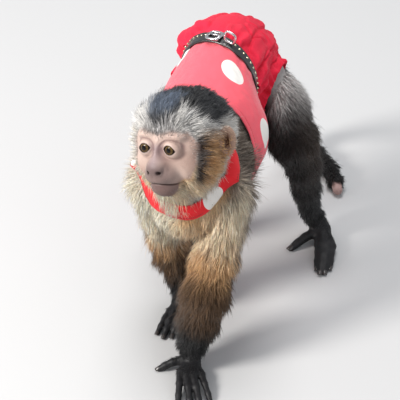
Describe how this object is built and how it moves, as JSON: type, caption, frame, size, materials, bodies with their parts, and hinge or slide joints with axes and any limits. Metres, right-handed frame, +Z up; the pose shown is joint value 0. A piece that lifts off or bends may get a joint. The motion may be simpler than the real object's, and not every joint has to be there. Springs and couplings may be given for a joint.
{
  "type": "capuchin monkey",
  "caption": "Young capuchin monkey on all fours with its head turned, in a dotted shirt, belt and bloomers, a still life-size museum model.",
  "frame": {"origin": "on the floor, under the middle of the bounding box", "axes": "+Z up, -Y the way the monkey walks, +X its left side"},
  "size_m": [0.1723, 0.4108, 0.2605],
  "materials": {
    "fur": "matte dark brown fur",
    "black_fur": "matte black fur",
    "pale_fur": "matte cream to tan fur",
    "skin": "bare dark skin, slightly glossy",
    "ear": "bare pinkish skin",
    "eye": "polished",
    "cloth": "red knitted cotton with white dots",
    "leather": "satin black",
    "metal": "polished nickel"
  },
  "bodies": {
    "root": {"head": "pale_fur", "neck": "pale_fur", "trunk": "fur", "eye_left": "eye", "eye_right": "eye", "ear_left": "ear", "ear_right": "ear", "upper_arm_left": "pale_fur", "forearm_left": "fur", "hand_left": "skin", "upper_arm_right": "pale_fur", "forearm_right": "fur", "hand_right": "skin", "thigh_left": "fur", "shank_left": "fur", "foot_left": "skin", "thigh_right": "fur", "shank_right": "fur", "foot_right": "skin", "tail_base": "black_fur", "tail_middle": "black_fur", "tail_end": "black_fur", "shirt": "cloth", "neckline": "cloth", "bloomers": "cloth", "belt": "leather", "belt_buckle": "metal", "belt_ring": "metal"}
  },
  "joints": []
}
